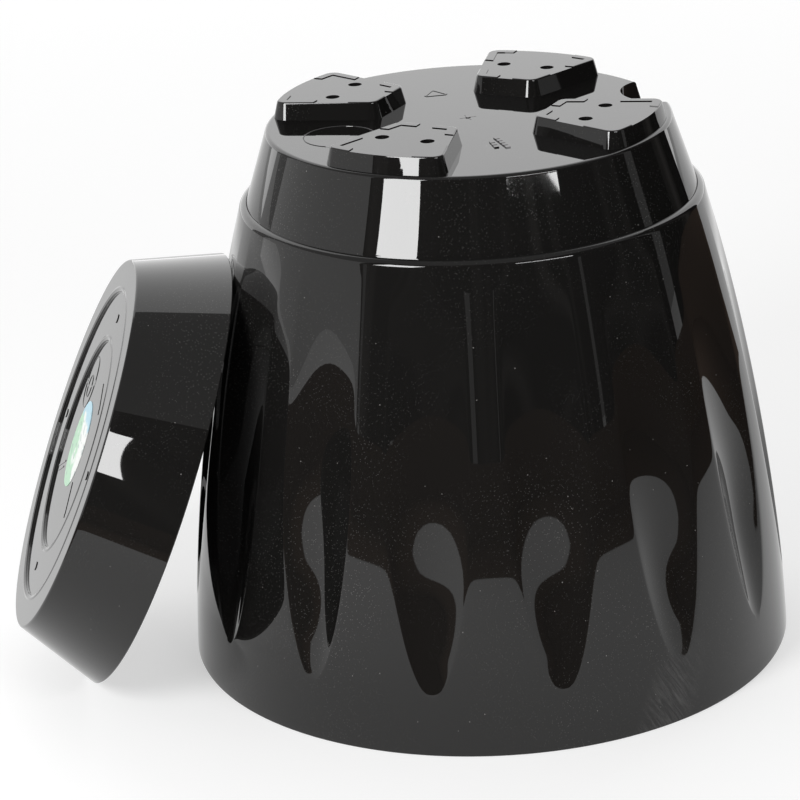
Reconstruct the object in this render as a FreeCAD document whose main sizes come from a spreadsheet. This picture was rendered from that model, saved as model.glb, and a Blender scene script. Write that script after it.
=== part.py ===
import FreeCAD, Part
import Sketcher
import math
import os

# Plant pot with its saucer. The pot stands upside down on its rim and the saucer
# leans against it. Lengths are in millimetres. The origin is on the pot's axis, in
# the plane of its rim, and Z runs up towards the feet. The saucer leans on -X.

# ---------------------------------------------------------------- sizes
SIZES = {
    # the pot's wall: one shallow convex arc from the rim to the ledge
    "rim_r": 200.0,
    "wall_t": 3.0,
    "wall_arc_r": 1317.0,
    "wall_top_r": 150.6,
    "wall_top_z": 304.5,
    "ledge_r": 148.4,
    "ledge_z": 308.2,
    # the plain band that sits in the saucer, and the flat base above it
    "band_low_r": 145.6,
    "band_top_r": 131.0,
    "band_top_z": 352.6,
    "base_r": 128.2,
    "base_z": 355.2,
    # the flutes: a long scoop with a straight middle, repeated round the wall
    "flute_depth": 5.2,
    "flute_axis_gap": 85.0,
    "flute_low_z": 42.0,
    "flute_mid_z": 190.0,
    "flute_high_z": 262.0,
    "flute_end_z": 302.0,
    # one foot, seen in plan along its own radius, at the base
    "foot_in_x": 53.5,
    "foot_out_x": 119.5,
    "foot_arc_r": 127.8,
    "foot_in_y": 22.6,
    "foot_out_y": 43.0,
    "foot_h": 11.3,
    "foot_out_round": 7.0,
    "foot_in_round": 5.0,
    # the recess in a foot's top leaves a low land at each corner
    "land_in": 8.8,
    "land_h": 0.5,
    "side_gap_in_x": 73.0,
    "side_gap_out_x": 95.0,
    "in_gap_y": 5.6,
    "out_gap_y": 21.5,
    "drain_r": 4.5,
    "drain_pcd_r": 90.7,
    # the scoop cut down into the band, between two feet
    "scoop_r": 29.6,
    "scoop_x": 137.0,
    "scoop_z": 330.0,
    # the saucer: a deep dish with a twice-stepped underside
    "dish_rim_r": 147.6,
    "dish_base_r": 126.0,
    "dish_edge": 2.0,
    "dish_h": 57.4,
    "dish_wall_t": 2.8,
    "dish_floor_t": 3.0,
    "step_h": 1.5,
    "outer_step_r": 103.5,
    "inner_step_r": 70.5,
    "nub_r": 3.0,
    "nub_h": 0.5,
    "nub_pcd_r": 87.0,
    # the round paper label stuck in the middle of the underside
    "label_r": 29.0,
    "label_t": 0.3,
}
FLUTES = 15
FEET = 4
NUBS = 4
FOOT_DRAFT_DEG = 14.0
DRAIN_HALF_DEG = 9.94
# the scoop and one flute share this direction; the feet lie at 45 degrees to it
PATTERN_DEG = 10.9
FOOT_DEG = PATTERN_DEG + 45.0
NUB_DEG = 8.0
# how the saucer leans: its axis climbs away from the pot
LEAN_DEG = 23.335
DISH_RIM_X = -217.2

doc = FreeCAD.newDocument("plant_pot")
sheet = doc.addObject("Spreadsheet::Sheet", "dims")
for row, (name, number) in enumerate(SIZES.items(), start=1):
    sheet.set("A%d" % row, name)
    sheet.set("B%d" % row, str(number))
    sheet.setAlias("B%d" % row, name)
doc.recompute()


def amount(words):
    """The number that a sum of size names gives, such as "rim_r - wall_t"."""
    total = 0.0
    sign = 1.0
    for word in words.split():
        if word in "+-":
            sign = 1.0 if word == "+" else -1.0
        elif word == "zero":
            continue
        else:
            total += sign * SIZES[word]
            sign = 1.0
    return total


def bound(words):
    """The same sum as an expression that reads the sheet."""
    parts = []
    for word in words.split():
        if word in "+-":
            parts.append(word)
        elif word == "zero":
            parts.append("0 mm")
        else:
            parts.append("dims.%s * 1 mm" % word)
    return " ".join(parts)


def new_body(name):
    body = doc.addObject("PartDesign::Body", name)
    body.Label = name
    return body


def origin_item(body, role):
    for item in body.Origin.OriginFeatures:
        if item.Role == role:
            return item
    raise RuntimeError("no origin feature " + role)


def new_sketch(body, name, role, lift=None, turn_deg=0.0):
    sketch = body.newObject("Sketcher::SketchObject", name)
    sketch.AttachmentSupport = (origin_item(body, role), [""])
    sketch.MapMode = "FlatFace"
    if lift:
        offset = FreeCAD.Vector(0, 0, amount(lift))
        turn = FreeCAD.Rotation(FreeCAD.Vector(0, 0, 1), turn_deg)
        sketch.AttachmentOffset = FreeCAD.Placement(offset, turn)
        sketch.setExpression(".AttachmentOffset.Base.z", bound(lift))
    return sketch


def pin(sketch, edge, end, x_words, y_words):
    """Fix one end of an edge at a place that the sheet gives."""
    for kind, words in (("DistanceX", x_words), ("DistanceY", y_words)):
        rule = Sketcher.Constraint(kind, -1, 1, edge, end, amount(words))
        index = sketch.addConstraint(rule)
        sketch.setExpression("Constraints[%d]" % index, bound(words))


def outline(sketch, corners, arcs=None):
    """A closed outline through corners; arcs maps an edge to (radius, bulge side)."""
    arcs = arcs or {}
    places = [FreeCAD.Vector(amount(x), amount(y), 0) for x, y in corners]
    count = len(places)
    for i, start in enumerate(places):
        stop = places[(i + 1) % count]
        if i in arcs:
            radius_words, side = arcs[i]
            radius = amount(radius_words)
            half = (stop - start) * 0.5
            rise = radius - math.sqrt(radius ** 2 - half.Length ** 2)
            across = FreeCAD.Vector(half.y, -half.x, 0).normalize()
            middle = start + half + across * (rise * side)
            sketch.addGeometry(Part.Arc(start, middle, stop), False)
        else:
            sketch.addGeometry(Part.LineSegment(start, stop), False)
    # a clockwise arc is stored turned round, so its own ends are looked up
    ends = []
    for i, start in enumerate(places):
        first = sketch.getPoint(i, 1)
        ends.append((1, 2) if first.distanceToPoint(start) < 1e-6 else (2, 1))
    for i in range(count):
        after = (i + 1) % count
        join = Sketcher.Constraint("Coincident", i, ends[i][1], after, ends[after][0])
        sketch.addConstraint(join)
    for i, (x_words, y_words) in enumerate(corners):
        pin(sketch, i, ends[i][0], x_words, y_words)
    for i, (radius_words, side) in arcs.items():
        rule = Sketcher.Constraint("Radius", i, amount(radius_words))
        index = sketch.addConstraint(rule)
        sketch.setExpression("Constraints[%d]" % index, bound(radius_words))


def circle(sketch, x, y, radius_words):
    """A circle whose radius the sheet gives, centred at two plain numbers."""
    middle = FreeCAD.Vector(x, y, 0)
    axis = FreeCAD.Vector(0, 0, 1)
    edge = sketch.addGeometry(Part.Circle(middle, axis, amount(radius_words)), False)
    sketch.addConstraint(Sketcher.Constraint("DistanceX", -1, 1, edge, 3, x))
    sketch.addConstraint(Sketcher.Constraint("DistanceY", -1, 1, edge, 3, y))
    index = sketch.addConstraint(Sketcher.Constraint("Radius", edge, amount(radius_words)))
    sketch.setExpression("Constraints[%d]" % index, bound(radius_words))


def spun(body, name, corners, arcs=None):
    """A solid of revolution about the body's own Z axis."""
    sketch = new_sketch(body, name + "_section", "XZ_Plane")
    outline(sketch, corners, arcs)
    feature = body.newObject("PartDesign::Revolution", name)
    feature.Profile = sketch
    feature.ReferenceAxis = (origin_item(body, "Z_Axis"), [""])
    feature.Angle = 360
    doc.recompute()
    return feature


def round_pattern(body, name, originals, count):
    feature = body.newObject("PartDesign::PolarPattern", name)
    feature.Originals = originals
    feature.Axis = (origin_item(body, "Z_Axis"), [""])
    feature.Angle = 360
    feature.Occurrences = count
    body.Tip = feature
    doc.recompute()
    return feature


# ---------------------------------------------------------------- the pot
def pot_section(inset):
    """The pot's outer section, or the cavity's when inset is the wall thickness."""
    less = " - wall_t" if inset else ""
    corners = [
        ("zero", "zero"),
        ("rim_r" + less, "zero"),
        ("wall_top_r" + less, "wall_top_z" + less),
        ("ledge_r" + less, "ledge_z" + less),
        ("band_low_r" + less, "ledge_z" + less),
        ("band_top_r" + less, "band_top_z" + less),
        ("base_r" + less, "base_z" + less),
        ("zero", "base_z" + less),
    ]
    return corners, {1: ("wall_arc_r", 1.0)}


def wall_radius(z):
    """Radius of the wall's arc at a height above the rim."""
    start = FreeCAD.Vector(amount("rim_r"), 0, 0)
    stop = FreeCAD.Vector(amount("wall_top_r"), amount("wall_top_z"), 0)
    radius = amount("wall_arc_r")
    half = (stop - start) * 0.5
    back = FreeCAD.Vector(-half.y, half.x, 0).normalize()
    middle = start + half + back * math.sqrt(radius ** 2 - half.Length ** 2)
    return middle.x + math.sqrt(radius ** 2 - (z - middle.y) ** 2)


def cut_flutes(body, name, inset):
    """One long scoop, turned about a straight axis outside the wall, and its copies."""
    depth = amount("flute_depth") + inset
    low, mid, high, end = (amount("flute_%s_z" % w) for w in ("low", "mid", "high", "end"))
    lean = (wall_radius(mid) - wall_radius(high)) / (high - mid)
    gap = amount("flute_axis_gap")

    def axis_x(z):
        return wall_radius(mid) + gap - lean * (z - mid)

    reach = inset * 1.2
    places = [
        (axis_x(low - reach), low - reach),
        (wall_radius(low) - 0.2 - inset, low - reach),
        (wall_radius((low + mid) / 2) - depth * 0.78, (low + mid) / 2),
        (wall_radius(mid) - depth, mid),
        (wall_radius(high) - depth, high),
        (wall_radius(end) - inset, end + reach * 0.4),
        (axis_x(end + reach * 0.4), end + reach * 0.4),
    ]
    points = [FreeCAD.Vector(x, z, 0) for x, z in places]
    sketch = new_sketch(body, name + "_section", "XZ_Plane")
    sketch.addGeometry(Part.LineSegment(points[0], points[1]), False)
    sketch.addGeometry(Part.Arc(points[1], points[2], points[3]), False)
    sketch.addGeometry(Part.LineSegment(points[3], points[4]), False)
    sketch.addGeometry(Part.LineSegment(points[4], points[5]), False)
    sketch.addGeometry(Part.LineSegment(points[5], points[6]), False)
    sketch.addGeometry(Part.LineSegment(points[6], points[0]), False)
    sketch.addGeometry(Part.LineSegment(points[6], points[0]), True)
    for edge in range(7):
        sketch.addConstraint(Sketcher.Constraint("Block", edge))
    before = body.Tip.Shape.Volume
    groove = body.newObject("PartDesign::Groove", name)
    groove.Profile = sketch
    groove.ReferenceAxis = (sketch, ["Edge6"])
    groove.Angle = 360
    doc.recompute()
    print(name, "cuts", round(before - groove.Shape.Volume, 1))
    return groove


def padded(body, name, sketch, length_words, taper_deg=0.0):
    pad = body.newObject("PartDesign::Pad", name)
    pad.Profile = sketch
    pad.Length = amount(length_words)
    pad.setExpression("Length", bound(length_words))
    pad.TaperAngle = taper_deg
    doc.recompute()
    return pad


def pocketed(body, name, sketch, length_words):
    before = body.Tip.Shape.Volume
    pocket = body.newObject("PartDesign::Pocket", name)
    pocket.Profile = sketch
    pocket.Length = amount(length_words)
    pocket.setExpression("Length", bound(length_words))
    doc.recompute()
    print(name, "cuts", round(before - pocket.Shape.Volume, 1))
    return pocket


def cut_scoop(body, name, inset):
    """The round scoop down into the band, on the X side."""
    top = "base_z - wall_t" if inset else "base_z"
    sketch = new_sketch(body, name + "_plan", "XY_Plane", top)
    circle(sketch, amount("scoop_x"), 0.0, "scoop_r + wall_t" if inset else "scoop_r")
    return pocketed(body, name, sketch, "base_z - scoop_z")


def foot_plan(sketch, less=""):
    """A foot's outline pointing along X, drawn in from the base outline by less."""
    shrink = " - " + less if less else ""
    swell = " + " + less if less else ""
    corners = [
        ("foot_in_x" + swell, "zero - foot_in_y" + swell),
        ("foot_out_x" + shrink, "zero - foot_out_y" + swell),
        ("foot_out_x" + shrink, "foot_out_y" + shrink),
        ("foot_in_x" + swell, "foot_in_y" + shrink),
    ]
    outline(sketch, corners, {1: ("foot_arc_r" + shrink, 1.0)})
    return corners


def round_corners(sketch, corners, outer, inner):
    """Rounds the four corners of a foot's plan, the two outer ones first."""
    middle_of = {}
    for i, (x_words, y_words) in enumerate(corners):
        middle_of[i] = FreeCAD.Vector(amount(x_words), amount(y_words), 0)
    for before, corner, radius in ((0, 1, outer), (1, 2, outer), (2, 3, inner), (3, 0, inner)):
        place = middle_of[corner]
        near_a = place + (middle_of[before] - place) * 0.1
        near_b = place + (middle_of[(corner + 1) % 4] - place) * 0.1
        sketch.fillet(before, corner, near_a, near_b, radius, True, True)


def foot_features(body, inset):
    """One foot on the base, and on the outside its recess and two drain holes."""
    turn = 45.0
    if inset:
        sketch = new_sketch(body, "hollow_plan", "XY_Plane", "base_z - wall_t", turn)
        corners = foot_plan(sketch, "wall_t")
        round_corners(sketch, corners, amount("foot_out_round - wall_t"), 2.5)
        return [padded(body, "foot_hollow", sketch, "foot_h - land_h", -FOOT_DRAFT_DEG)]
    sketch = new_sketch(body, "foot_plan", "XY_Plane", "base_z", turn)
    corners = foot_plan(sketch)
    round_corners(sketch, corners, amount("foot_out_round"), amount("foot_in_round"))
    made = [padded(body, "foot", sketch, "foot_h", -FOOT_DRAFT_DEG)]
    top = "base_z + foot_h"
    sketch = new_sketch(body, "recess_plan", "XY_Plane", top, turn)
    foot_plan(sketch, "land_in")
    made.append(pocketed(body, "foot_recess", sketch, "land_h"))
    # the gaps between the lands, as three plain channels
    channels = {
        "side_channel": ("side_gap_in_x", "side_gap_out_x", "foot_out_y"),
        "inner_channel": ("foot_in_x", "side_gap_in_x", "in_gap_y"),
        "outer_channel": ("side_gap_out_x", "foot_arc_r", "out_gap_y"),
    }
    for name, (x_near, x_far, y_half) in channels.items():
        sketch = new_sketch(body, name + "_plan", "XY_Plane", top, turn)
        low = "zero - " + y_half
        outline(sketch, [(x_near, low), (x_far, low), (x_far, y_half), (x_near, y_half)])
        made.append(pocketed(body, name, sketch, "land_h"))
    sketch = new_sketch(body, "drain_plan", "XY_Plane", top, turn)
    for side in (-1, 1):
        swing = math.radians(side * DRAIN_HALF_DEG)
        reach = amount("drain_pcd_r")
        circle(sketch, reach * math.cos(swing), reach * math.sin(swing), "drain_r")
    made.append(pocketed(body, "drain_holes", sketch, "foot_h"))
    return made


def pot_body(name, inset):
    body = new_body(name)
    corners, arcs = pot_section(inset)
    spun(body, name + "_turned", corners, arcs)
    cut_scoop(body, name + "_scoop", inset)
    flute = cut_flutes(body, name + "_flute", inset)
    round_pattern(body, name + "_flutes", [flute], FLUTES)
    made = foot_features(body, inset)
    round_pattern(body, name + "_feet", made, FEET)
    return body


blank = pot_body("pot_blank", 0.0)
core = pot_body("pot_core", amount("wall_t"))
pot = doc.addObject("Part::Cut", "planter_pot")
pot.Label = "planter_pot"
pot.Base = blank
pot.Tool = core
pot.Placement = FreeCAD.Placement(
    FreeCAD.Vector(), FreeCAD.Rotation(FreeCAD.Vector(0, 0, 1), PATTERN_DEG)
)
doc.recompute()

# ---------------------------------------------------------------- the saucer
lean = math.radians(LEAN_DEG)
dish_place = FreeCAD.Placement(
    FreeCAD.Vector(DISH_RIM_X, 0, amount("dish_rim_r") * math.cos(lean)),
    FreeCAD.Rotation(FreeCAD.Vector(0, 1, 0), LEAN_DEG - 90.0),
)
floor = "dish_h - dish_floor_t"
dish = new_body("saucer")
dish_corners = [
    ("dish_rim_r", "zero"),
    ("dish_base_r", "dish_h - dish_edge"),
    ("dish_base_r - dish_edge", "dish_h"),
    ("outer_step_r", "dish_h"),
    ("outer_step_r", "dish_h - step_h"),
    ("inner_step_r", "dish_h - step_h"),
    ("inner_step_r", "dish_h - step_h - step_h"),
    ("zero", "dish_h - step_h - step_h"),
    ("zero", floor + " - step_h - step_h"),
    ("inner_step_r - dish_wall_t", floor + " - step_h - step_h"),
    ("inner_step_r - dish_wall_t", floor + " - step_h"),
    ("outer_step_r - dish_wall_t", floor + " - step_h"),
    ("outer_step_r - dish_wall_t", floor),
    ("dish_base_r - dish_edge - dish_wall_t", floor),
    ("dish_rim_r - dish_wall_t", "zero"),
]
spun(dish, "dish_turned", dish_corners)
nub_sketch = new_sketch(dish, "nub_plan", "XY_Plane", "dish_h - step_h")
nub_swing = math.radians(NUB_DEG)
nub_reach = amount("nub_pcd_r")
circle(nub_sketch, nub_reach * math.cos(nub_swing), nub_reach * math.sin(nub_swing), "nub_r")
nub = padded(dish, "nub", nub_sketch, "nub_h")
round_pattern(dish, "nubs", [nub], NUBS)
dish.Placement = dish_place

label = new_body("saucer_label")
label_sketch = new_sketch(label, "label_plan", "XY_Plane", "dish_h - step_h - step_h")
circle(label_sketch, 0.0, 0.0, "label_r")
padded(label, "label_disc", label_sketch, "label_t")
label.Placement = dish_place
doc.recompute()

# ---------------------------------------------------------------- the files
NODES = [pot, dish, label]
for item in doc.Objects:
    if "Invalid" in item.State or "Error" in item.State:
        raise RuntimeError("%s did not recompute" % item.Label)
for node in NODES:
    if node.Shape.isNull() or not node.Shape.isValid():
        raise RuntimeError("%s has no sound shape" % node.Label)
os.makedirs("parts", exist_ok=True)
for node in NODES:
    node.Shape.exportStep("parts/%s.step" % node.Label)
    box = node.Shape.BoundBox
    print(
        node.Label, "solids", len(node.Shape.Solids),
        "volume", round(node.Shape.Volume / 1000.0, 2), "cm3",
        "x %.1f..%.1f y %.1f..%.1f z %.1f..%.1f"
        % (box.XMin, box.XMax, box.YMin, box.YMax, box.ZMin, box.ZMax),
    )
print("gap between the saucer and the pot", round(dish.Shape.distToShape(pot.Shape)[0], 3))
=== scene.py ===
# %% [markdown]
# # An upturned planter and its saucer
# A black plastic planter stands on its rim, so its four feet point up, and its deep
# saucer leans against it. This lesson builds both from what the mould makes, part by
# part. It starts by loading the CAD frame, which fixes where everything is.

# %% Load the frame
import math

import bpy
from mathutils import Matrix, Vector


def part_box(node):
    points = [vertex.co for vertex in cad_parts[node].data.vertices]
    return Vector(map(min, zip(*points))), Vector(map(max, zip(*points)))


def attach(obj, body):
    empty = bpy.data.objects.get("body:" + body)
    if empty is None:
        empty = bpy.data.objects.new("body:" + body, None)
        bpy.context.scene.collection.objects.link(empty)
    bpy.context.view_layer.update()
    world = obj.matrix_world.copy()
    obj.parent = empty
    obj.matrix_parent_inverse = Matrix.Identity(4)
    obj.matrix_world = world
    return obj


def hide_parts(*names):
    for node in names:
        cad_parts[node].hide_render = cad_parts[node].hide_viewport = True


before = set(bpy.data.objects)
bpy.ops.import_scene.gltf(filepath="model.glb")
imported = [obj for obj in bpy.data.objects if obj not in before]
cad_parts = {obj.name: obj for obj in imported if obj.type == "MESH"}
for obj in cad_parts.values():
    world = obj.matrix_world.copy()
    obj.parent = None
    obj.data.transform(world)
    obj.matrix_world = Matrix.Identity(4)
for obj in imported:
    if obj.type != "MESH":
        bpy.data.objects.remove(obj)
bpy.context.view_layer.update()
pot_lo, pot_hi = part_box("planter_pot")
print("pot height", round(pot_hi.z - pot_lo.z, 4))

# %% [markdown]
# Blender's operators act on whatever is selected, so every step first clears the
# selection and then names what it works on. A few small helpers do that: one takes a
# single piece in hand, one picks faces or edges by their place, and one applies a
# modifier.

# %% Helpers for working by hand
MM = 0.001


def take(piece):
    """Selects one piece and nothing else."""
    if bpy.context.object and bpy.context.object.mode != "OBJECT":
        bpy.ops.object.mode_set(mode="OBJECT")
    bpy.ops.object.select_all(action="DESELECT")
    piece.select_set(True)
    bpy.context.view_layer.objects.active = piece


def added(name):
    """Names the primitive that was just added and fixes its place in its mesh."""
    piece = bpy.context.object
    piece.name = piece.data.name = name
    take(piece)
    bpy.ops.object.transform_apply(location=True, rotation=True, scale=True)
    return piece


def pick(piece, kind, wanted):
    """Goes into edit mode with the faces or edges that pass the test selected."""
    take(piece)
    bpy.ops.object.mode_set(mode="EDIT")
    bpy.ops.mesh.select_mode(type=kind)
    bpy.ops.mesh.select_all(action="DESELECT")
    bpy.ops.object.mode_set(mode="OBJECT")
    mesh = piece.data
    if kind == "FACE":
        for face in mesh.polygons:
            face.select = wanted(face.center, face.normal)
    else:
        for edge in mesh.edges:
            start, end = (mesh.vertices[i].co for i in edge.vertices)
            edge.select = wanted((start + end) / 2, (end - start).normalized())
    bpy.ops.object.mode_set(mode="EDIT")


def pick_all(piece):
    """Goes into edit mode with the whole mesh selected."""
    take(piece)
    bpy.ops.object.mode_set(mode="EDIT")
    bpy.ops.mesh.select_all(action="SELECT")


def done():
    """Leaves edit mode."""
    bpy.ops.object.mode_set(mode="OBJECT")


def apply_modifier(piece, kind, **settings):
    take(piece)
    modifier = piece.modifiers.new(kind.title(), kind)
    for key, value in settings.items():
        setattr(modifier, key, value)
    bpy.ops.object.modifier_apply(modifier=modifier.name)


def combine(piece, other, operation):
    """Adds or cuts another closed piece, which is used up."""
    apply_modifier(piece, "BOOLEAN", operation=operation, object=other, solver="MANIFOLD")
    take(other)
    bpy.ops.object.delete()
    return piece


def copied(piece, name, turn_deg=0.0):
    """A copy with its own mesh, turned about the pot's axis."""
    take(piece)
    bpy.ops.object.duplicate(linked=False)
    copy = bpy.context.object
    copy.name = copy.data.name = name
    if turn_deg:
        copy.rotation_euler.z = math.radians(turn_deg)
        bpy.ops.object.transform_apply(location=False, rotation=True, scale=False)
    return copy


def cylinder(name, radius, low, high, x=0.0, y=0.0, sides=96):
    """An upright cylinder between two heights."""
    bpy.ops.mesh.primitive_cylinder_add(
        vertices=sides, radius=radius, depth=high - low, location=(x, y, (low + high) / 2)
    )
    return added(name)


# %% [markdown]
# ## The pot's section
# A moulded pot is one thin wall. Its side is a shallow arc from the rim to a rounded
# ledge, then a plain tapered band that sits in the saucer, then a small rounded edge
# and the flat base. One function gives the radius of the outer side at any height, and
# the wall's own thickness is taken off for the inside.

# %% Sizes of the pot
RIM_R = pot_hi.x
FOOT_H = 11.3 * MM
LAND_H = 0.5 * MM
BASE_Z = pot_hi.z - FOOT_H
WALL = 3.0 * MM
WALL_ARC_R = 1317.0 * MM
WALL_TOP_R, WALL_TOP_Z = 150.6 * MM, 304.5 * MM
LEDGE_R, LEDGE_Z = 148.4 * MM, 308.2 * MM
BAND_LOW_R = 145.6 * MM
BAND_TOP_R, BAND_TOP_Z = 131.0 * MM, 352.6 * MM
BASE_R = 128.2 * MM
PATTERN_DEG = 10.9
print("rim radius", round(RIM_R, 4), "base at", round(BASE_Z, 4))


# %% The wall's arc and the small rounds
def arc_centre(r_low, z_low, r_high, z_high, radius):
    """Centre of the arc that bulges outwards through two points of the section."""
    chord = Vector((r_high - r_low, z_high - z_low))
    middle = Vector(((r_high + r_low) / 2, (z_high + z_low) / 2))
    inward = Vector((-chord.y, chord.x)).normalized()
    return middle + inward * math.sqrt(radius ** 2 - (chord.length / 2) ** 2)


WALL_CENTRE = arc_centre(RIM_R, 0.0, WALL_TOP_R, WALL_TOP_Z, WALL_ARC_R)


def wall_radius(z):
    """Radius of the outer side at a height, between the flutes."""
    return WALL_CENTRE.x + math.sqrt(WALL_ARC_R ** 2 - (z - WALL_CENTRE.y) ** 2)


def steps(start, end, count):
    """Evenly spaced values from start to end."""
    return [start + (end - start) * i / count for i in range(count + 1)]


LEDGE_ROUND, WALL_TOP_DEG = 5.0 * MM, 16.5
LEDGE_MIDDLE_R = WALL_TOP_R - LEDGE_ROUND * math.cos(math.radians(WALL_TOP_DEG))
LEDGE_MIDDLE_Z = WALL_TOP_Z - LEDGE_ROUND * math.sin(math.radians(WALL_TOP_DEG))
EDGE_R, BAND_LEAN_DEG = 2.8 * MM, 18.2
BASE_MID_R, BASE_HUB_R = 60.0 * MM, 12.0 * MM


def quarter(centre_r, centre_z, radius, start_deg, end_deg, count=4):
    """Points (radius, height) along a small round of the section."""
    swings = [math.radians(t) for t in steps(start_deg, end_deg, count)]
    return [(centre_r + radius * math.cos(s), centre_z + radius * math.sin(s)) for s in swings]


print("radius halfway up the wall", round(wall_radius(WALL_TOP_Z / 2), 4))

# %% [markdown]
# ## The flutes
# Fifteen long flutes are scooped into the wall. Each starts in a blunt point above the
# rim, is deepest a third of the way up and fades out under the ledge. Seen across, a
# flute is a shallow hollow with a soft crease at each side. Three short formulas say
# how wide and how deep it is at each height, and how the hollow is shaped across.

# %% The flute's formulas
FLUTES = 15
PITCH_DEG = 360.0 / FLUTES
FLUTE_LOW, FLUTE_DEEP, FLUTE_END = 40.0 * MM, 113.0 * MM, 303.0 * MM
FLUTE_DEPTH = 6.6 * MM
BELLY_DEPTH, BELLY_HALF, BELLY_UP = 1.2 * MM, 54.0 * MM, 4.0 * MM
FLUTE_HALF_DEG, FLUTE_TIP_DEG = 8.5, 0.9
WIDENING = 160.0 * MM
TIP_BLUNTNESS, RISE_POWER, FALL_POWER = 0.48, 0.88, 1.6
CREASE, CREASE_REACH = 0.12, 3.0


def flute_half_deg(z):
    """Half the flute's width as an angle: blunt at the tip, then wide all the way up."""
    climb = min(max((z - FLUTE_LOW) / WIDENING, 0.0), 1.0)
    return max(FLUTE_HALF_DEG * math.sin(math.pi / 2 * climb) ** TIP_BLUNTNESS, FLUTE_TIP_DEG)


def flute_depth(z):
    """A quick rise to the deepest place, a belly there, and a long fall to the ledge."""
    if z <= FLUTE_LOW or z >= FLUTE_END:
        return 0.0
    if z < FLUTE_DEEP:
        climb = (z - FLUTE_LOW) / (FLUTE_DEEP - FLUTE_LOW)
        main = math.sin(math.pi / 2 * climb) ** RISE_POWER
    else:
        main = 1.0 - ((z - FLUTE_DEEP) / (FLUTE_END - FLUTE_DEEP)) ** FALL_POWER
    off = min(abs(z - FLUTE_DEEP - BELLY_UP) / BELLY_HALF, 1.0)
    return FLUTE_DEPTH * main + BELLY_DEPTH * math.cos(math.pi / 2 * off) ** 2


def flute_hollow(across):
    """Share of the depth, from 1 in the middle to 0 outside, with a soft crease."""
    if abs(across) >= CREASE_REACH:
        return 0.0
    bowl = 1.0 - across ** 2
    return (bowl + math.sqrt(bowl ** 2 + CREASE ** 2)) / 2


for height in (60, 110, 200, 280):
    print("flute at", height, "half", round(flute_half_deg(height * MM), 2),
          "deep", round(flute_depth(height * MM) / MM, 2))

# %% [markdown]
# ## One sector of the skin
# Pulling faces about could not keep the mesh lines on a crease that widens as it
# climbs, and on a glossy wall a crease that crosses the mesh shows as a row of steps.
# So a grid is added, and its points are placed by the formulas: rows go up the section
# and columns fan out with the flute. One sector of 24 degrees is made, then copied
# round with Spin, and the seams are merged.

# %% Stations of the section
def outer_stations():
    """(radius, height) from the rim to the base, at the outer side."""
    lip = [
        (RIM_R - 1.0 * MM, 0.0), (RIM_R - 0.35 * MM, 0.15 * MM), (wall_radius(1.0 * MM), 1.0 * MM),
    ]
    heights = steps(6 * MM, 36 * MM, 5) + steps(39 * MM, 129 * MM, 36)
    heights += steps(133 * MM, WALL_TOP_Z, 34)
    wall = [(wall_radius(z), z) for z in heights]
    ledge = quarter(LEDGE_MIDDLE_R, LEDGE_MIDDLE_Z, LEDGE_ROUND, 24.0, 88.0, 6)
    seam = [
        (BAND_LOW_R + 0.1 * MM, LEDGE_Z - 0.45 * MM), (BAND_LOW_R - 0.25 * MM, LEDGE_Z + 0.5 * MM),
    ]
    rise = (BAND_TOP_R - BAND_LOW_R) / (BAND_TOP_Z - LEDGE_Z)
    heights = steps(310 * MM, 352.4 * MM, 4)
    band = [(BAND_LOW_R + rise * (z - LEDGE_Z), z) for z in heights]
    edge = quarter(BASE_R, BASE_Z - EDGE_R, EDGE_R, BAND_LEAN_DEG, 90.0, 6)
    base = [(r, BASE_Z) for r in (BASE_R - 0.6 * MM, 122 * MM, BASE_MID_R, BASE_HUB_R)]
    return lip + wall + ledge + seam + band + edge + base


def inner_stations():
    """The inside of the wall, one thickness in, running out past the rim."""
    heights = [-6 * MM, 0.0] + steps(20 * MM, 40 * MM, 1)
    heights += steps(48 * MM, WALL_TOP_Z - 4 * MM, 30)
    wall = [(wall_radius(max(z, 0.0)) - WALL, z) for z in heights]
    top = BASE_Z - WALL
    ledge = [
        (LEDGE_R - WALL - 1 * MM, LEDGE_Z - WALL), (BAND_LOW_R - WALL, LEDGE_Z - WALL + 1 * MM),
    ]
    corner = [(BAND_TOP_R - WALL, top - 2.6 * MM), (BASE_R - WALL, top)]
    return wall + ledge + corner + [(BASE_MID_R, top), (BASE_HUB_R, top)]


print("outer stations", len(outer_stations()), "inner", len(inner_stations()))


# %% Make a sector and turn it into a closed skin
def columns(inside, outside):
    """Places across one sector: (part, share), closest together at the flute's crease."""
    hollow = [math.sin(math.pi / 2 * s) for s in steps(-1.0, 1.0, inside)]
    rib = [s ** 1.6 for s in steps(0.0, 1.0, outside)]
    places = [("rib", -s) for s in reversed(rib[1:])]
    places += [("hollow", s) for s in hollow]
    places += [("rib", s) for s in rib[1:]]
    return places


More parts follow.
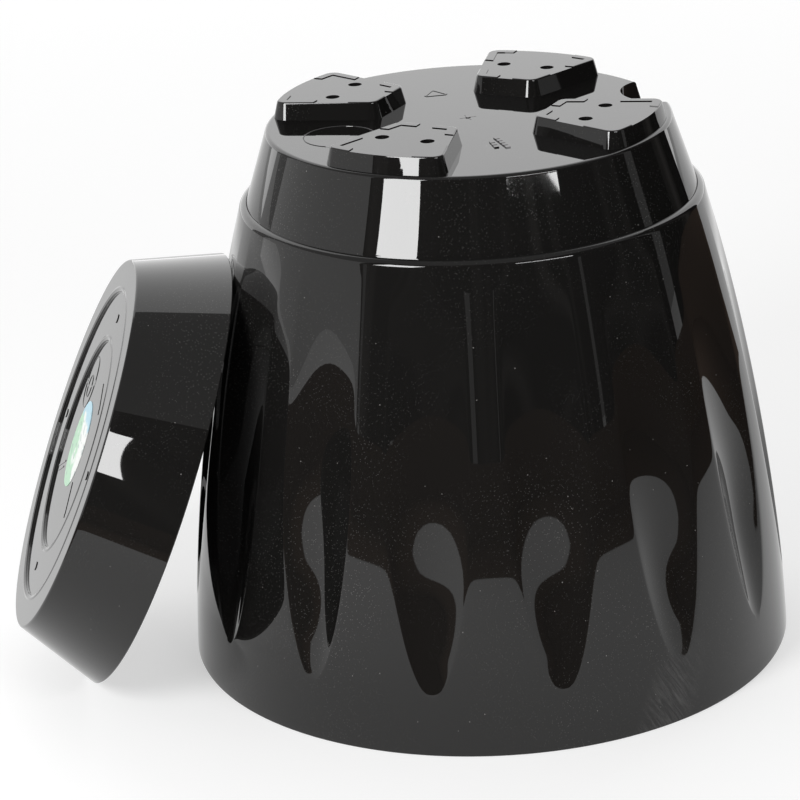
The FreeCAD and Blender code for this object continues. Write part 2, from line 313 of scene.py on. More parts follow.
def skin(name, stations, across):
    """One sector of the wall, repeated round the axis and closed at both ends."""
    rows = len(stations) - 1
    bpy.ops.mesh.primitive_grid_add(x_subdivisions=len(across) - 1, y_subdivisions=rows, size=2)
    piece = added(name)
    for vertex in piece.data.vertices:
        part, share = across[round((vertex.co.x + 1) / 2 * (len(across) - 1))]
        radius, z = stations[round((vertex.co.y + 1) / 2 * rows)]
        half = flute_half_deg(z)
        if part == "hollow":
            degrees = share * half
        else:
            degrees = math.copysign(half + (PITCH_DEG / 2 - half) * abs(share), share)
        radius -= flute_depth(z) * flute_hollow(degrees / half)
        turn = math.radians(PATTERN_DEG + degrees)
        vertex.co = (radius * math.cos(turn), radius * math.sin(turn), z)
    pick_all(piece)
    bpy.ops.mesh.spin(
        steps=FLUTES - 1, dupli=True, angle=math.radians(PITCH_DEG * (FLUTES - 1)),
        center=(0, 0, 0), axis=(0, 0, 1),
    )
    bpy.ops.mesh.select_all(action="SELECT")
    bpy.ops.mesh.remove_doubles(threshold=0.02 * MM)
    bpy.ops.mesh.select_all(action="DESELECT")
    bpy.ops.mesh.select_mode(type="EDGE")
    bpy.ops.mesh.select_non_manifold()
    bpy.ops.mesh.edge_face_add()
    bpy.ops.mesh.select_all(action="SELECT")
    bpy.ops.mesh.normals_make_consistent(inside=False)
    done()
    print(name, "faces", len(piece.data.polygons))
    return piece


pot = skin("pot_shell", outer_stations(), columns(20, 9))
hollow = skin("pot_inside", inner_stations(), columns(10, 3))

# %% [markdown]
# ## A foot
# Each foot is a drafted block with an arc for its outer side, moulded with the base.
# Bevelling the upright corners of a trimmed disc would be the usual way, but a bevel
# that is wider than the arc's short sides crosses itself. So a flat circle is added and
# its points are placed on the plan, corners and all. Extrude gives it height, an inset
# with depth leans the sides in by the draft, and a few small insets round the top edge.
# A shallow recess and three channels then leave a low land at each corner of the top.

# %% The foot's plan
FOOT_IN_X, FOOT_OUT_X, FOOT_ARC_R = 53.5 * MM, 119.5 * MM, 127.8 * MM
FOOT_IN_Y, FOOT_OUT_Y = 22.6 * MM, 43.0 * MM
LAND_IN = 8.8 * MM
DRAIN_R, DRAIN_REACH, DRAIN_DEG = 4.5 * MM, 90.7 * MM, 9.94
FOOT_DEGS = [PATTERN_DEG + 45.0 + 90.0 * i for i in range(4)]
OUTER_ROUND, INNER_ROUND, EDGE_ROUND = 9.5 * MM, 9.0 * MM, 1.1 * MM
ARC_PARTS, ROUND_PARTS, EDGE_PARTS = 10, 8, 4
PAST = 2.0 * MM


def on_arc(centre, radius, turn):
    return (centre.x + radius * math.cos(turn), centre.y + radius * math.sin(turn))


def foot_outline(less, inner_round):
    """The foot's plan drawn in by less, as points going once round."""
    slope = Vector((FOOT_OUT_X - FOOT_IN_X, FOOT_OUT_Y - FOOT_IN_Y)).normalized()
    outward = Vector((-slope.y, slope.x))
    start = Vector((FOOT_IN_X, FOOT_IN_Y))
    along = (inner_round * (1 + outward.x)) / slope.x
    inner = start + slope * along - outward * inner_round
    base = start - outward * OUTER_ROUND
    reach = FOOT_ARC_R - OUTER_ROUND
    lead = base.dot(slope)
    outer = base + slope * (math.sqrt(lead ** 2 - base.dot(base) + reach ** 2) - lead)
    arc_turn = math.atan2(outer.y, outer.x)
    side_turn = math.atan2(outward.y, outward.x)
    axis = Vector((0, 0))
    half = [on_arc(axis, FOOT_ARC_R - less, t) for t in steps(0.0, arc_turn, ARC_PARTS)[:-1]]
    half += [on_arc(outer, OUTER_ROUND - less, t) for t in steps(arc_turn, side_turn, ROUND_PARTS)]
    half += [on_arc(inner, inner_round - less, t) for t in steps(side_turn, math.pi, ROUND_PARTS)]
    return half + [(x, -y) for x, y in reversed(half[1:])]


def foot_block(name, low, high, less, inner_round=INNER_ROUND):
    """A plain block with the foot's plan drawn in by less."""
    outline = foot_outline(less, inner_round)
    bpy.ops.mesh.primitive_circle_add(vertices=len(outline), radius=FOOT_IN_X, fill_type="NGON")
    piece = added(name)
    for vertex, (x, y) in zip(piece.data.vertices, outline):
        vertex.co = (x, y, low)
    pick_all(piece)
    bpy.ops.mesh.extrude_region_move(TRANSFORM_OT_translate={"value": (0, 0, high - low)})
    bpy.ops.mesh.select_all(action="SELECT")
    bpy.ops.mesh.normals_make_consistent(inside=False)
    done()
    return piece


print("points round a foot", len(foot_outline(0.0, INNER_ROUND)))

# %% Make one foot
DRAFT = math.tan(math.radians(14.0))


def foot_solid(name, low, top, less, edge_round=0.0):
    """The block with its draft, and its top edge rounded where a round is given."""
    piece = foot_block(name, low - PAST, low, less)
    pick(piece, "FACE", lambda centre, normal: normal.z > 0.9)
    drafted = top - low - edge_round
    bpy.ops.mesh.inset(thickness=drafted * DRAFT, depth=drafted)
    if edge_round:
        turns = steps(0.0, math.pi / 2, EDGE_PARTS)
        for start, end in zip(turns, turns[1:]):
            bpy.ops.mesh.inset(
                thickness=edge_round * (math.cos(start) - math.cos(end)),
                depth=edge_round * (math.sin(end) - math.sin(start)),
            )
    done()
    print(name, "points", len(piece.data.vertices))
    return piece


foot = foot_solid("foot", BASE_Z, pot_hi.z, 0.0, EDGE_ROUND)
foot_hollow = foot_solid("foot_hollow", BASE_Z - WALL, pot_hi.z - WALL - LAND_H, WALL)

# %% Cut the lands
CHANNELS = [
    ("side_channel", 73 * MM, 95 * MM, 60 * MM),
    ("inner_channel", 40 * MM, 74 * MM, 5.6 * MM),
    ("outer_channel", 94 * MM, 135 * MM, 21.5 * MM),
]
recess = foot_block("recess", pot_hi.z - LAND_H, pot_hi.z + PAST, LAND_IN, OUTER_ROUND)
for name, near_x, far_x, half_y in CHANNELS:
    bpy.ops.mesh.primitive_cube_add(
        size=1, location=((near_x + far_x) / 2, 0, pot_hi.z + (PAST - LAND_H) / 2),
        scale=(far_x - near_x, 2 * half_y, PAST + LAND_H),
    )
    recess = combine(recess, added(name), "UNION")
foot = combine(foot, recess, "DIFFERENCE")
print("foot faces", len(foot.data.polygons))

# %% [markdown]
# ## Joining the pot
# The mould fills the feet and the wall in one shot, so the finished pot is one piece.
# Feet are added to the outer skin and their hollows to the inner one, the round scoop
# is cut from both so that the wall goes round it, and the inside is then taken out.

# %% The scoop and the feet
SCOOP_R, SCOOP_X, SCOOP_Z = 29.6 * MM, 137.0 * MM, 330.0 * MM
SCOOP_TOP, DRAIN_LOW, DRAIN_TOP = BASE_Z + 20 * MM, BASE_Z - 30 * MM, pot_hi.z + 5 * MM
scoop_turn = math.radians(PATTERN_DEG)
scoop_at = (SCOOP_X * math.cos(scoop_turn), SCOOP_X * math.sin(scoop_turn))
scoop_tool = cylinder("scoop_tool", SCOOP_R, SCOOP_Z, SCOOP_TOP, *scoop_at)
scoop_wall = cylinder("scoop_wall", SCOOP_R + WALL, SCOOP_Z - WALL, SCOOP_TOP, *scoop_at)
pot = combine(pot, scoop_tool, "DIFFERENCE")
hollow = combine(hollow, scoop_wall, "DIFFERENCE")
for turn in FOOT_DEGS:
    pot = combine(pot, copied(foot, "foot_copy", turn), "UNION")
    hollow = combine(hollow, copied(foot_hollow, "hollow_copy", turn), "UNION")
for turn in FOOT_DEGS:
    for side in (-1, 1):
        swing = math.radians(turn + side * DRAIN_DEG)
        drain = cylinder(
            "drain", DRAIN_R, DRAIN_LOW, DRAIN_TOP,
            DRAIN_REACH * math.cos(swing), DRAIN_REACH * math.sin(swing), sides=32,
        )
        hollow = combine(hollow, drain, "UNION")
pot = combine(pot, hollow, "DIFFERENCE")
for spare in (foot, foot_hollow):
    take(spare)
    bpy.ops.object.delete()
take(pot)
bpy.ops.object.shade_smooth_by_angle(angle=math.radians(32))
apply_modifier(pot, "WEIGHTED_NORMAL", keep_sharp=True, weight=100)
print("pot triangles", sum(len(f.vertices) - 2 for f in pot.data.polygons))

# %% [markdown]
# ## The saucer
# The saucer is a deep round dish: a tapered side, a small rounded edge, and an
# underside that steps in twice. It is turned from its section, which is what Spin does:
# one row of points is drawn, swept once round the axis, and its seam merged. It is
# made flat at the origin and then leaned into its place.

# %% The dish's section
DISH_RIM_R, DISH_BASE_R, DISH_H = 147.6 * MM, 126.0 * MM, 57.4 * MM
DISH_WALL, DISH_FLOOR, STEP_H = 2.8 * MM, 3.0 * MM, 1.5 * MM
OUTER_STEP_R, INNER_STEP_R = 103.5 * MM, 70.5 * MM
DISH_ROUND, STEP_ROUND = 2.0 * MM, 0.6 * MM
BEAD_WIDE, BEAD_H = 3.4 * MM, 0.45 * MM


def stepped(radius, high):
    """A low bead and then a rounded step down, going inwards on the underside."""
    low = high - STEP_H
    bead = []
    for share in steps(0.0, 1.0, 8):
        swell = math.sin(math.pi * share) ** 2
        bead.append((radius + STEP_ROUND + BEAD_WIDE * (1 - share), high + BEAD_H * swell))
    return (
        bead
        + quarter(radius + STEP_ROUND, high - STEP_ROUND, STEP_ROUND, 112, 180)
        + quarter(radius - STEP_ROUND, low + STEP_ROUND, STEP_ROUND, 0, -90)
        + [(radius - STEP_ROUND - 1.0 * MM, low)]
    )


def dish_section():
    """(radius, height) once round the dish's wall, starting at the rim."""
    slope = (DISH_RIM_R - DISH_BASE_R) / (DISH_H - DISH_ROUND)
    lean_deg = math.degrees(math.atan(slope))
    edge_r = DISH_BASE_R - DISH_ROUND
    side = [(DISH_RIM_R - slope * z, z) for z in steps(0.6 * MM, DISH_H - 5 * MM, 4)]
    outside = [(DISH_RIM_R - 0.6 * MM, 0.0)] + side
    outside += quarter(edge_r - 0.2 * MM, DISH_H - DISH_ROUND, DISH_ROUND, lean_deg, 90, 6)
    outside += stepped(OUTER_STEP_R, DISH_H) + stepped(INNER_STEP_R, DISH_H - STEP_H)
    floor = DISH_H - DISH_FLOOR
    inside = [
        (0.0, floor - 2 * STEP_H), (INNER_STEP_R - DISH_WALL, floor - 2 * STEP_H),
        (INNER_STEP_R - DISH_WALL, floor - STEP_H), (OUTER_STEP_R - DISH_WALL, floor - STEP_H),
        (OUTER_STEP_R - DISH_WALL, floor), (edge_r - DISH_WALL, floor),
        (DISH_RIM_R - DISH_WALL, 0.0),
    ]
    return outside + [(0.0, DISH_H - 2 * STEP_H)] + inside


print("points in the section", len(dish_section()))

# %% Turn the dish
def lathe(name, section, turns):
    """Draws a closed section point by point from one corner of a plane, and spins it."""
    bpy.ops.mesh.primitive_plane_add(size=1 * MM, location=(section[0][0], 0, section[0][1]))
    piece = added(name)
    pick_all(piece)
    bpy.ops.mesh.select_mode(type="VERT")
    bpy.ops.mesh.select_all(action="SELECT")
    bpy.ops.mesh.merge(type="CENTER")
    at = Vector((section[0][0], 0, section[0][1]))
    for radius, z in section[1:] + section[:1]:
        point = Vector((radius, 0, z))
        bpy.ops.mesh.extrude_region_move(TRANSFORM_OT_translate={"value": point - at})
        at = point
    bpy.ops.mesh.select_all(action="SELECT")
    bpy.ops.mesh.spin(steps=turns, angle=math.tau, center=(0, 0, 0), axis=(0, 0, 1))
    bpy.ops.mesh.select_all(action="SELECT")
    bpy.ops.mesh.remove_doubles(threshold=0.01 * MM)
    bpy.ops.mesh.normals_make_consistent(inside=False)
    done()
    return piece


saucer = lathe("saucer_dish", dish_section(), 256)
print("saucer faces", len(saucer.data.polygons))

# %% [markdown]
# ## Small marks of the moulds
# A mould leaves small raised marks: stacking nubs, a round badge, a material triangle,
# rows of code and the stub of the gate. Here the badge is a plain ring and the code is
# plain bars. Each is a low solid set a little into its floor.

# %% Marks as low solids
RING_THICK, BAR_WIDE = 0.35 * MM, 1.1 * MM


def bar(name, x, y, z, length, width, height, turn_deg):
    """A flat bar, as deep in its floor as it stands over it."""
    bpy.ops.mesh.primitive_cube_add(
        size=1, location=(x, y, z), rotation=(0, 0, math.radians(turn_deg)),
        scale=(length, width, 2 * height),
    )
    return added(name)


def ring(name, x, y, z, radius, sides=64):
    """A thin raised ring, half sunk in its floor."""
    bpy.ops.mesh.primitive_torus_add(
        location=(x, y, z), major_radius=radius, minor_radius=RING_THICK,
        major_segments=sides, minor_segments=8,
    )
    return added(name)


def joined(pieces, name):
    """Several pieces made into one."""
    take(pieces[0])
    for other in pieces[1:]:
        other.select_set(True)
    bpy.ops.object.join()
    piece = bpy.context.object
    piece.name = piece.data.name = name
    return piece


def polar(degrees, reach):
    """X and Y of a point at a bearing and a distance from the axis."""
    swing = math.radians(degrees)
    return reach * math.cos(swing), reach * math.sin(swing)


print("a quarter turn is at", [round(v, 3) for v in polar(90, 1.0)])

# %% Nubs and marks of the dish
NUB_R, NUB_H, NUB_REACH, NUB_DEG = 3.0 * MM, 0.5 * MM, 87.0 * MM, 8.0
middle_floor, low_floor = DISH_H - STEP_H, DISH_H - 2 * STEP_H
for i in range(4):
    x, y = polar(NUB_DEG + 90 * i, NUB_REACH)
    nub = cylinder("nub", NUB_R, middle_floor - 1 * MM, middle_floor + NUB_H, x, y, sides=24)
    saucer = combine(saucer, nub, "UNION")

dish_marks = [
    ring("badge", 31 * MM, 37 * MM, low_floor, 17.5 * MM),
    ring("badge_inner", 28 * MM, 37 * MM, low_floor, 7.5 * MM, sides=40),
]
CODE_ROWS = [
    (44, -25, 22, 60), (41, -28, 20, 60), (-24, -38, 22, 40), (-28, -40, 18, 40),
    (-30, 38, 24, 120), (-33, 36, 18, 120),
]
MARK_H = 0.3 * MM
for x, y, length, turn in CODE_ROWS:
    row = bar("code", x * MM, y * MM, low_floor, length * MM, BAR_WIDE, MARK_H, turn)
    dish_marks.append(row)
saucer_marks = joined(dish_marks, "saucer_marks")
print("marks on the dish", len(dish_marks))

# %% [markdown]
# The dish was made lying on its rim. It now leans back against the pot: it is turned
# about the world's Y axis until its underside faces out and up, and moved until its
# rim touches the floor. The turn is applied, so the mesh itself holds the place.

# %% Lean the saucer
LEAN_DEG, DISH_RIM_X = 23.335, -217.2 * MM
lean = math.radians(LEAN_DEG)
dish_place = Matrix.Translation((DISH_RIM_X, 0, DISH_RIM_R * math.cos(lean))) @ Matrix.Rotation(
    lean - math.pi / 2, 4, "Y"
)
for piece in (saucer, saucer_marks):
    piece.matrix_world = dish_place
    take(piece)
    bpy.ops.object.transform_apply(location=True, rotation=True, scale=True)
    bpy.ops.object.shade_smooth_by_angle(angle=math.radians(35))
    apply_modifier(piece, "WEIGHTED_NORMAL", keep_sharp=True, weight=100)
print("saucer lowest point", round(min(v.co.z for v in saucer.data.vertices), 5))

# %% Marks on the pot's base
BAR_SHARE = 0.86


def triangle_mark(x, y, side, turn_deg):
    """A hollow triangle of three plain bars."""
    bars = []
    for i in range(3):
        outward_deg = turn_deg + 120 * i
        dx, dy = polar(outward_deg, side / 2 / math.sqrt(3))
        bars.append(bar(
            "side", x + dx, y + dy, BASE_Z, side * BAR_SHARE, BAR_WIDE, MARK_H, outward_deg + 90
        ))
    return bars


base_marks = triangle_mark(*polar(101.5, 63.6 * MM), 15.5 * MM, -87.5)
base_marks.append(ring("badge", *polar(-167.7, 87 * MM), BASE_Z, 23 * MM))
for reach, swing, length in ((67, -84.5, 15), (67, -79.5, 29)):
    for part in range(int(length / 5)):
        x, y = polar(swing, (reach - length / 2 + 2.5 + 5 * part) * MM)
        base_marks.append(bar("code", x, y, BASE_Z, 3.8 * MM, 3.0 * MM, 0.7 * MM, swing))
base_marks.append(cylinder("gate", 1.6 * MM, BASE_Z - 1 * MM, BASE_Z + 0.5 * MM, sides=24))
for turn in (12, 102):
    base_marks.append(bar("cross", 0, 0, BASE_Z, 11 * MM, 0.7 * MM, 0.15 * MM, turn))
pot_marks = joined(base_marks, "pot_marks")
print("marks on the base", len(base_marks))

# %% [markdown]
# ## Shader maths in plain Python
# A material is a small graph. To keep it readable, one class wraps a node's output so
# that ordinary arithmetic on it adds the Math nodes, and one method adds any other
# node from its type, its settings and its inputs.

# %% A look and its values
class Value:
    """A number that varies over the surface; arithmetic on it adds Math nodes."""

    def __init__(self, look, socket):
        self.look, self.socket = look, socket

    def maths(self, operation, first, second=None, clamp=False):
        inputs = {0: first} if second is None else {0: first, 1: second}
        settings = {"operation": operation, "use_clamp": clamp}
        return self.look.node("ShaderNodeMath", settings, inputs).out("Value")

    def __add__(self, other):
        return self.maths("ADD", self, other)

    def __sub__(self, other):
        return self.maths("SUBTRACT", self, other)

    def __mul__(self, other):
        return self.maths("MULTIPLY", self, other)

    def __rsub__(self, other):
        return self.maths("SUBTRACT", other, self)

    def __gt__(self, other):
        return self.maths("GREATER_THAN", self, other)

    def __lt__(self, other):
        return self.maths("LESS_THAN", self, other)

    __radd__, __rmul__ = __add__, __mul__

    def between(self, low, high):
        """0 below low, 1 above high, and even in between."""
        return self.maths("ADD", (self - low) * (1.0 / (high - low)), 0.0, clamp=True)


class Look:
    """A material with one glossy shader, and a method that adds any node."""

    def __init__(self, name, **constants):
        self.material = bpy.data.materials.new(name)
        self.material.use_nodes = True
        self.tree = self.material.node_tree
        self.shader = self.tree.nodes["Principled BSDF"]
        for socket, value in constants.items():
            self.shader.inputs[socket.replace("_", " ")].default_value = value

    def node(self, kind, settings, inputs):
        """Any node, from its type, its settings and what goes into it."""
        made = self.tree.nodes.new(kind)
        for key, value in settings.items():
            setattr(made, key, value)
        for key, value in inputs.items():
            if isinstance(value, Value):
                self.tree.links.new(value.socket, made.inputs[key])
            else:
                made.inputs[key].default_value = value
        return Node(self, made)

    def place(self, origin=(0, 0, 0), turn=(0, 0, 0)):
        """The point on the piece, seen from a frame with this origin and turn."""
        point = self.node("ShaderNodeTexCoord", {}, {}).out("Object")
        settings = {"vector_type": "TEXTURE"}
        inputs = {"Vector": point, "Location": origin, "Rotation": turn}
        return self.node("ShaderNodeMapping", settings, inputs).out("Vector")

    def stretched(self, point, scale):
        """The point with each of its three measures scaled."""
        settings = {"operation": "MULTIPLY"}
        return self.node("ShaderNodeVectorMath", settings, {0: point, 1: scale}).out("Vector")

    def parts(self, point):
        split = self.node("ShaderNodeSeparateXYZ", {}, {"Vector": point})
        return split.out("X"), split.out("Y"), split.out("Z")

    def noise(self, point, scale, detail=2.0, roughness=0.5):
        inputs = {"Vector": point, "Scale": scale, "Detail": detail, "Roughness": roughness}
        return self.node("ShaderNodeTexNoise", {}, inputs).out("Fac")

    def specks(self, point, scale):
        """Distance to the nearest of many scattered points."""
        inputs = {"Vector": point, "Scale": scale, "Randomness": 1.0}
        return self.node("ShaderNodeTexVoronoi", {"feature": "F1"}, inputs).out("Distance")

    def mixed(self, share, first, second):
        """Two colours mixed by a share."""
        settings = {"data_type": "RGBA", "blend_type": "MIX"}
        return self.node("ShaderNodeMix", settings, {0: share, 6: first, 7: second}).out(2)

    def bump(self, height, distance):
        """Tilts the surface as if it rose and fell by this distance."""
        inputs = {"Height": height, "Distance": distance, "Strength": 1.0}
        return self.node("ShaderNodeBump", {}, inputs).out("Normal")

    def drive(self, **sockets):
        """Joins patterns to the shader's own sockets."""
        for socket, value in sockets.items():
            self.tree.links.new(value.socket, self.shader.inputs[socket.replace("_", " ")])

    def dress(self, *pieces):
        for piece in pieces:
            piece.data.materials.clear()
            piece.data.materials.append(self.material)


class Node:
    """One node of a look, whose outputs are asked for by name."""

    def __init__(self, look, made):
        self.look, self.made = look, made

    def out(self, name):
        return Value(self.look, self.made.outputs[name])


print("materials so far", len(bpy.data.materials))

# %% [markdown]
# ## Black plastic
# Polished moulded plastic is nearly black in itself: what is seen is the room in its
# skin. It has faint swells from uneven cooling, a breath of haze, fine dust and one
# rubbed place near the rim where the pot is set down. Painted images could carry these,
# but patterns in the piece's own space need no unwrapping and stay sharp at any size.

# %% The two plastics
FINE_SPECKS, FINE_SIZE, FLECKS, FLECK_SIZE = 620.0, 0.16, 95.0, 0.035
SCUFF_SLANT, SCUFF_LOW, SCUFF_HIGH = 2.2, 22 * MM, 58 * MM
SCUFF_STARTS, SCUFF_ENDS = (-1.27, -1.20), (-1.13, -1.02)


def colour(level, warm=0.0):
    """A grey, a little warmer than neutral where warm is given."""
    return (level * (1 + warm), level, level * (1 - warm), 1.0)


def black_plastic(name, dusty, rubbed):
    """Polished black plastic with haze, dust, swells and, if rubbed, a scuff."""
    look = Look(name, IOR=1.46)
    point = look.place()
    haze = look.noise(point, 9.0, detail=3.0).between(0.35, 0.75)
    patches = look.noise(point, 11.0, detail=4.0).between(0.40, 0.7)
    fine_dust = (look.specks(point, FINE_SPECKS) < FINE_SIZE) * patches
    flecks = look.specks(point, FLECKS) < FLECK_SIZE
    dust = (fine_dust * 0.55 + flecks) * dusty
    shade = look.mixed(dust, colour(0.0075, 0.04), colour(0.16, 0.03))
    roughness = 0.012 + haze * 0.012 + dust * 0.2
    if rubbed:
        x, y, z = look.parts(point)
        bearing = look.node("ShaderNodeMath", {"operation": "ARCTAN2"}, {0: y, 1: x}).out("Value")
        strokes_at = look.node(
            "ShaderNodeCombineXYZ", {}, {"X": bearing * 88.0 + z * 260.0, "Y": z * 48.0, "Z": 0.0}
        ).out("Vector")
        strokes = look.noise(strokes_at, 1.0, detail=5.0, roughness=0.72).between(0.42, 0.78)
        slanted = bearing - z * SCUFF_SLANT
        side = slanted.between(*SCUFF_STARTS) * (1 - slanted.between(*SCUFF_ENDS))
        low = 1 - z.between(SCUFF_LOW, SCUFF_HIGH)
        scuff = strokes * side * low * 0.8
        shade = look.mixed(scuff, shade, colour(0.09, 0.02))
        roughness = roughness + scuff * 0.22
    swell = look.noise(point, 12.0, detail=1.0)
    normal = look.bump(swell, 0.05 * MM)
    look.drive(Base_Color=shade, Roughness=roughness, Normal=normal)
    return look


pot_plastic = black_plastic("pot_black_plastic", dusty=0.9, rubbed=True)
saucer_plastic = black_plastic("saucer_black_plastic", dusty=0.7, rubbed=False)
pot_plastic.dress(pot, pot_marks)
saucer_plastic.dress(saucer, saucer_marks)
for plastic in (pot_plastic, saucer_plastic):
    print(plastic.material.name, "nodes", len(plastic.tree.nodes))

# %% [markdown]
# ## The paper label
# The label is the CAD disc itself. Printed paper is white with soft coloured areas, so
# its colours are mixed by where a point lies on the disc: a pale green field, a light
# blue upper edge and a few grey lines in place of print.

# %% Label paper
label = bpy.data.objects["saucer_label"]
paper = Look("label_paper", Roughness=0.42, IOR=1.45)
local = paper.place(origin=dish_place.translation, turn=(0, lean - math.pi / 2, 0))
up, across, _ = paper.parts(local)
blotch = paper.noise(local, 70.0, detail=3.0)
field = (blotch + across * 9.0 - up * 6.0).between(0.45, 0.56)
edge = (up + (blotch - 0.5) * 0.02).between(15 * MM, 18 * MM)
print_rows = (paper.noise(paper.stretched(local, (260.0, 90.0, 1.0)), 1.0, detail=0.0) > 0.66) * 0.5
ground = paper.mixed(field, (0.80, 0.82, 0.80, 1.0), (0.42, 0.66, 0.47, 1.0))
ground = paper.mixed(edge, ground, (0.40, 0.62, 0.72, 1.0))
ground = paper.mixed(print_rows, ground, (0.25, 0.34, 0.33, 1.0))
paper.drive(Base_Color=ground)
paper.dress(label)
print("label paper nodes", len(paper.tree.nodes))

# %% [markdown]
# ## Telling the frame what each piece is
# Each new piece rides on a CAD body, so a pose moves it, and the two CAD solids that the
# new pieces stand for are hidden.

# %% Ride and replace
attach(pot, "pot")
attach(pot_marks, "pot")
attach(saucer, "dish")
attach(saucer_marks, "dish")
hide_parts("planter_pot")
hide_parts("saucer")
print("told the frame of", [piece.name for piece in (pot, pot_marks, saucer, saucer_marks)])

# %% [markdown]
# ## The studio
# Glossy black plastic shows the room, so the room is the look. The floor is pale, and a
# bright backdrop stands behind. The front is hung with dark curtains, flat sheets with the
# light and shade of soft folds painted on as pale and dark streaks; they leave a few narrow
# gaps low down and one gap all the way up, and a brown skirt lies on the floor below them.
# The camera does not see the cloth, only what it does in the plastic. Two softboxes hang inside the
# curtains and make the crisp bright marks.

# %% Floor
FLOOR_DROP = 0.2 * MM


def plain(name, paint, glow=0.0):
    """A matt surface with no shine, which may give off a little light."""
    return Look(
        name, Roughness=0.9, Base_Color=paint, Specular_IOR_Level=0.0,
        Emission_Color=colour(1.0), Emission_Strength=glow,
    )


bpy.ops.mesh.primitive_plane_add(size=24, location=(0, 0, -FLOOR_DROP))
studio_floor = added("studio_floor")
plain("floor_paint", colour(0.50), glow=0.54).dress(studio_floor)
print("floor at", -FLOOR_DROP)

# %% Curtains and skirt
CURTAIN_R, CURTAIN_TOP, SKIRT_TOP, SLIT_TOP = 1.45, 1.75, 0.17, 0.55
SHEET_R = 0.91
CURTAINS = [
    (-152.0, -149.6), (-147.4, -105.4), (-101.0, -89.6), (-88.6, -50.4), (-49.2, -8.3),
    (-3.0, 34.0),
]
UPPER_CURTAINS = [(-152.0, -8.3), (-3.0, 34.0)]
SKIRT = (-195.0, 34.0)
# The pale grey is painted light: it stands for the lit ridges of folds on the flat cloth.
CLOTH_DARK, CLOTH_FOLD_LIGHT = colour(0.008), (0.24, 0.23, 0.22, 1.0)
SKIRT_BROWN = (0.13, 0.092, 0.070, 1.0)


def bearing_of(point):
    """Degrees round the pot, counted so that the front half has no jump."""
    bearing = math.degrees(math.atan2(point.y, point.x))
    return bearing - 360 if bearing > 150 else bearing


def hung(name, low, high, spans):
    """A ring of cloth between two heights, cut down to some spans of bearing."""
    bpy.ops.mesh.primitive_cylinder_add(
        vertices=720, radius=CURTAIN_R, depth=high - low,
        end_fill_type="NOTHING", location=(0, 0, (low + high) / 2),
    )
    piece = added(name)

    def outside_spans(centre, normal):
        return not any(start < bearing_of(centre) < end for start, end in spans)

    pick(piece, "FACE", outside_spans)
    bpy.ops.mesh.delete(type="FACE")
    done()
    return piece


curtain = joined([
    hung("curtain_low", SKIRT_TOP, SLIT_TOP, CURTAINS),
    hung("curtain_high", SLIT_TOP, CURTAIN_TOP, UPPER_CURTAINS),
], "curtain")
skirt = hung("skirt", 1 * MM, SKIRT_TOP, [SKIRT])
pick(skirt, "EDGE", lambda middle, along: middle.z < 2 * MM and abs(along.z) < 0.5)
bpy.ops.mesh.extrude_region_move()
bpy.ops.transform.resize(
    value=(SHEET_R / CURTAIN_R, SHEET_R / CURTAIN_R, 1), center_override=(0, 0, 0)
)
done()
curtain_cloth = plain("curtain_cloth", CLOTH_DARK)
# Painted light and shade of folds: the flat cloth goes from dark to pale grey in soft upright
# streaks where fold ridges would catch the light.
fold_light = curtain_cloth.noise(
    curtain_cloth.stretched(curtain_cloth.place(), (4.2, 4.2, 0.35)), 1.0, detail=2.0, roughness=0.5
).between(0.50, 0.80)
curtain_cloth.drive(Base_Color=curtain_cloth.mixed(fold_light, CLOTH_DARK, CLOTH_FOLD_LIGHT))
curtain_cloth.dress(curtain)
plain("skirt_cloth", SKIRT_BROWN).dress(skirt)
for cloth in (curtain, skirt):
    cloth.visible_camera = False
print("curtain faces", len(curtain.data.polygons), "skirt faces", len(skirt.data.polygons))

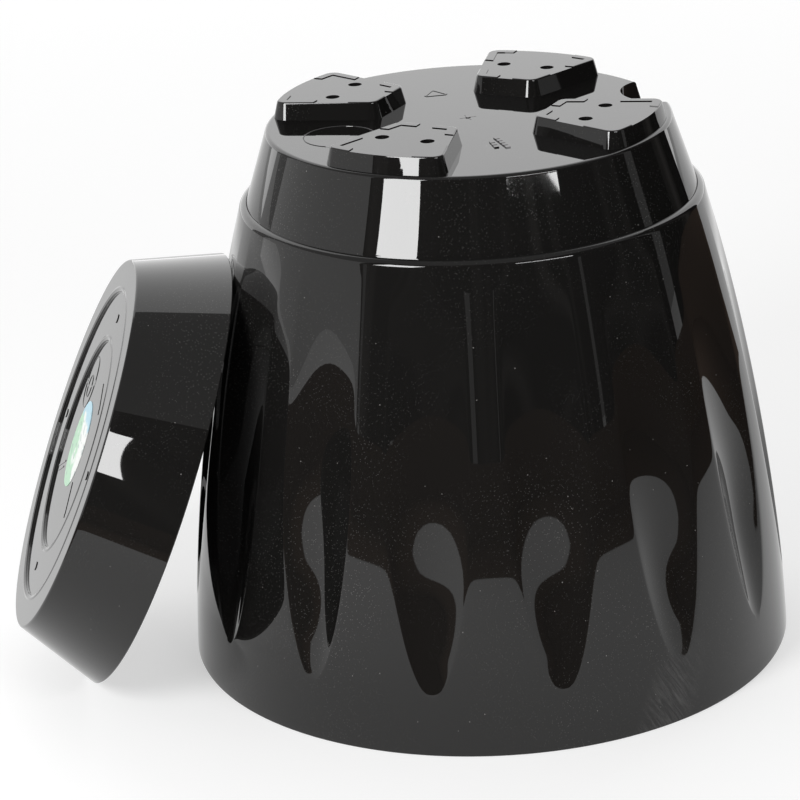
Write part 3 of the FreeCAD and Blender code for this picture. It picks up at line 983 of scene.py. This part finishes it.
# %% Softboxes, backdrop and room
def softbox(name, left_deg, right_deg, away, low, high, radiance, tilt_deg=0.0):
    """An upright rectangle of light between two bearings and two heights."""
    bearing = math.radians((left_deg + right_deg) / 2)
    back = Vector((math.cos(bearing), math.sin(bearing), 0))
    centre = back * away + Vector((0, 0, (low + high) / 2))
    bpy.ops.object.light_add(type="AREA", location=centre)
    lamp = bpy.context.object
    lamp.name = name
    tilt = Matrix.Rotation(math.radians(tilt_deg), 3, "Z")
    lamp.rotation_euler = (back.to_track_quat("Z", "Y").to_matrix() @ tilt).to_euler()
    lamp.data.shape = "RECTANGLE"
    lamp.data.size = 2 * away * math.tan(math.radians(abs(right_deg - left_deg) / 2))
    lamp.data.size_y = high - low
    lamp.data.energy = radiance * math.pi * lamp.data.size * lamp.data.size_y
    print(name, "gives", round(lamp.data.energy, 2), "W")


softbox("strip_light", -143.0, -123.6, 1.33, 0.56, 1.16, 20.0, tilt_deg=-9.0)
softbox("high_light", -79.0, -51.5, 1.33, 0.727, 0.88, 20.0, tilt_deg=-5.6)
softbox("side_panel", -214.0, -152.0, 1.60, 0.10, 1.30, 0.60)
softbox("backdrop", 32.0, 132.0, 2.6, 0.05, 6.0, 1.3)
room = bpy.data.worlds.new("room")
bpy.context.scene.world = room
room.use_nodes = True
room.node_tree.nodes["Background"].inputs["Color"].default_value = (1, 1, 1, 1)
room.node_tree.nodes["Background"].inputs["Strength"].default_value = 0.35
bpy.context.scene.view_settings.view_transform = "Standard"

# %% [markdown]
# ## The camera
# The camera stands almost two metres away and about half a metre above the pot, tilted
# down, with a long lens, and is rolled slightly.

# %% Camera
EYE = Vector((-0.2608, -1.9037, 0.9013))
PITCH_DOWN, HEADING, ROLL = math.radians(21.0), math.radians(-6.2), math.radians(-3.21)
bpy.ops.object.camera_add(location=EYE)
camera = bpy.context.object
camera.name = "camera"
turn = (
    Matrix.Rotation(HEADING, 4, "Z")
    @ Matrix.Rotation(math.pi / 2 - PITCH_DOWN, 4, "X")
    @ Matrix.Rotation(ROLL, 4, "Z")
)
camera.rotation_euler = turn.to_euler()
camera.data.lens = 139.59
camera.data.sensor_width = 36.0
bpy.context.scene.camera = camera
print("camera", [round(v, 3) for v in camera.location])
